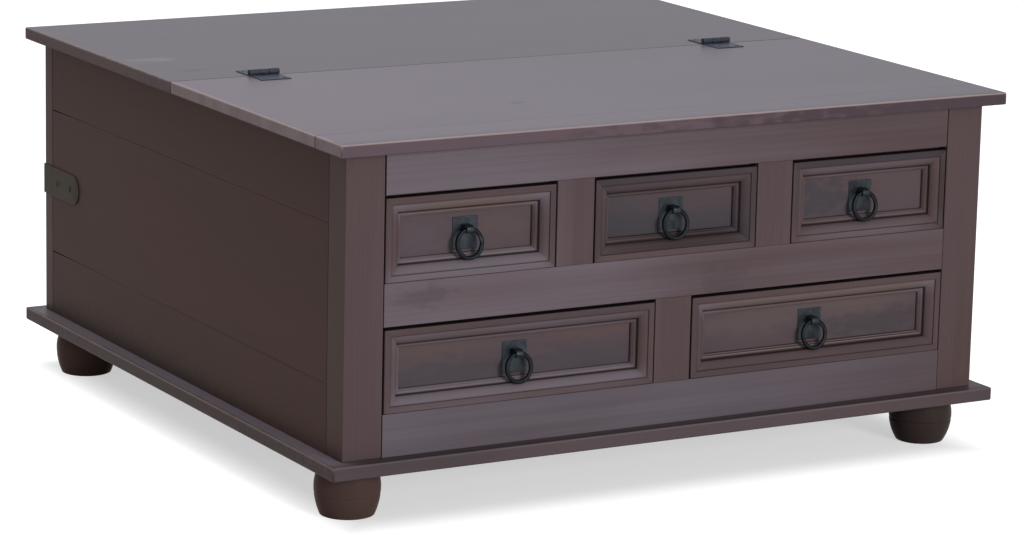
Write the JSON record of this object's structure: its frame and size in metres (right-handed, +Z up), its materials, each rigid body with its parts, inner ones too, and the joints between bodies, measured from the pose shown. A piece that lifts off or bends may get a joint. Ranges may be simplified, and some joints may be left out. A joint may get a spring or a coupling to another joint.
{
  "type": "storage coffee table",
  "caption": "Square stained-pine coffee table: moulded drawers with ring pulls in the front half, a trunk under a hinged lid in the rear half, on turned bun feet.",
  "frame": {"origin": "on the floor, under the middle of the table", "axes": "+X to the right along the drawer front, +Y from the drawer front to the back, +Z up"},
  "size_m": [1.006, 0.996, 0.5017],
  "materials": {
    "stained_pine": "dark grey-brown stain with a satin lacquer, worn on the edges",
    "bare_pine": "planed, unfinished",
    "plywood": "sanded, unfinished",
    "black_iron": "blackened, slightly glossy"
  },
  "bodies": {
    "carcass": {"bun_feet": "stained_pine", "foot_dowels": "bare_pine", "base_board": "stained_pine", "front_post_left": "stained_pine", "front_post_right": "stained_pine", "rear_post_left": "stained_pine", "rear_post_right": "stained_pine", "bottom_rail": "stained_pine", "middle_rail": "stained_pine", "top_rail": "stained_pine", "drawer_stiles": "stained_pine", "side_boards_left": "stained_pine", "side_boards_right": "stained_pine", "back_boards": "stained_pine", "corner_straps": "black_iron", "strap_nails": "black_iron", "trunk_divider": "bare_pine", "drawer_runners": "bare_pine", "drawer_guides": "bare_pine", "drawer_kickers": "bare_pine", "fixed_top": "stained_pine", "hinge_fixed_leaves": "black_iron", "hinge_fixed_screws": "black_iron", "hinge_pins": "black_iron"},
    "lid": {"lid_panel": "stained_pine", "lid_cleats": "bare_pine", "hinge_lid_leaves": "black_iron", "hinge_lid_screws": "black_iron"},
    "upper_left_drawer": {"upper_left_drawer_panel": "stained_pine", "upper_left_drawer_moulding": "stained_pine", "upper_left_drawer_walls": "bare_pine", "upper_left_drawer_bottom": "plywood", "upper_left_pull_plate": "black_iron"},
    "upper_left_ring": {"upper_left_pull_ring": "black_iron"},
    "upper_middle_drawer": {"upper_middle_drawer_panel": "stained_pine", "upper_middle_drawer_moulding": "stained_pine", "upper_middle_drawer_walls": "bare_pine", "upper_middle_drawer_bottom": "plywood", "upper_middle_pull_plate": "black_iron"},
    "upper_middle_ring": {"upper_middle_pull_ring": "black_iron"},
    "upper_right_drawer": {"upper_right_drawer_panel": "stained_pine", "upper_right_drawer_moulding": "stained_pine", "upper_right_drawer_walls": "bare_pine", "upper_right_drawer_bottom": "plywood", "upper_right_pull_plate": "black_iron"},
    "upper_right_ring": {"upper_right_pull_ring": "black_iron"},
    "lower_left_drawer": {"lower_left_drawer_panel": "stained_pine", "lower_left_drawer_moulding": "stained_pine", "lower_left_drawer_walls": "bare_pine", "lower_left_drawer_bottom": "plywood", "lower_left_pull_plate": "black_iron"},
    "lower_left_ring": {"lower_left_pull_ring": "black_iron"},
    "lower_right_drawer": {"lower_right_drawer_panel": "stained_pine", "lower_right_drawer_moulding": "stained_pine", "lower_right_drawer_walls": "bare_pine", "lower_right_drawer_bottom": "plywood", "lower_right_pull_plate": "black_iron"},
    "lower_right_ring": {"lower_right_pull_ring": "black_iron"}
  },
  "joints": [
    {"name": "lid_hinge", "type": "hinge", "parent": "carcass", "child": "lid", "pos_m": [0, 0, 0.4975], "axis": [1, 0, 0], "range_deg": [0, 180]},
    {"name": "upper_left_drawer_slide", "type": "slide", "parent": "carcass", "child": "upper_left_drawer", "axis": [0, -1, 0], "range_m": [0, 0.3]},
    {"name": "upper_left_ring_swing", "type": "hinge", "parent": "upper_left_drawer", "child": "upper_left_ring", "pos_m": [-0.30133, -0.4665, 0.36675], "axis": [-1, 0, 0], "range_deg": [0, 150]},
    {"name": "upper_middle_drawer_slide", "type": "slide", "parent": "carcass", "child": "upper_middle_drawer", "axis": [0, -1, 0], "range_m": [0, 0.3]},
    {"name": "upper_middle_ring_swing", "type": "hinge", "parent": "upper_middle_drawer", "child": "upper_middle_ring", "pos_m": [0, -0.4665, 0.36675], "axis": [-1, 0, 0], "range_deg": [0, 150]},
    {"name": "upper_right_drawer_slide", "type": "slide", "parent": "carcass", "child": "upper_right_drawer", "axis": [0, -1, 0], "range_m": [0, 0.3]},
    {"name": "upper_right_ring_swing", "type": "hinge", "parent": "upper_right_drawer", "child": "upper_right_ring", "pos_m": [0.30133, -0.4665, 0.36675], "axis": [-1, 0, 0], "range_deg": [0, 150]},
    {"name": "lower_left_drawer_slide", "type": "slide", "parent": "carcass", "child": "lower_left_drawer", "axis": [0, -1, 0], "range_m": [0, 0.3]},
    {"name": "lower_left_ring_swing", "type": "hinge", "parent": "lower_left_drawer", "child": "lower_left_ring", "pos_m": [-0.226, -0.4665, 0.19875], "axis": [-1, 0, 0], "range_deg": [0, 150]},
    {"name": "lower_right_drawer_slide", "type": "slide", "parent": "carcass", "child": "lower_right_drawer", "axis": [0, -1, 0], "range_m": [0, 0.3]},
    {"name": "lower_right_ring_swing", "type": "hinge", "parent": "lower_right_drawer", "child": "lower_right_ring", "pos_m": [0.226, -0.4665, 0.19875], "axis": [-1, 0, 0], "range_deg": [0, 150]}
  ]
}
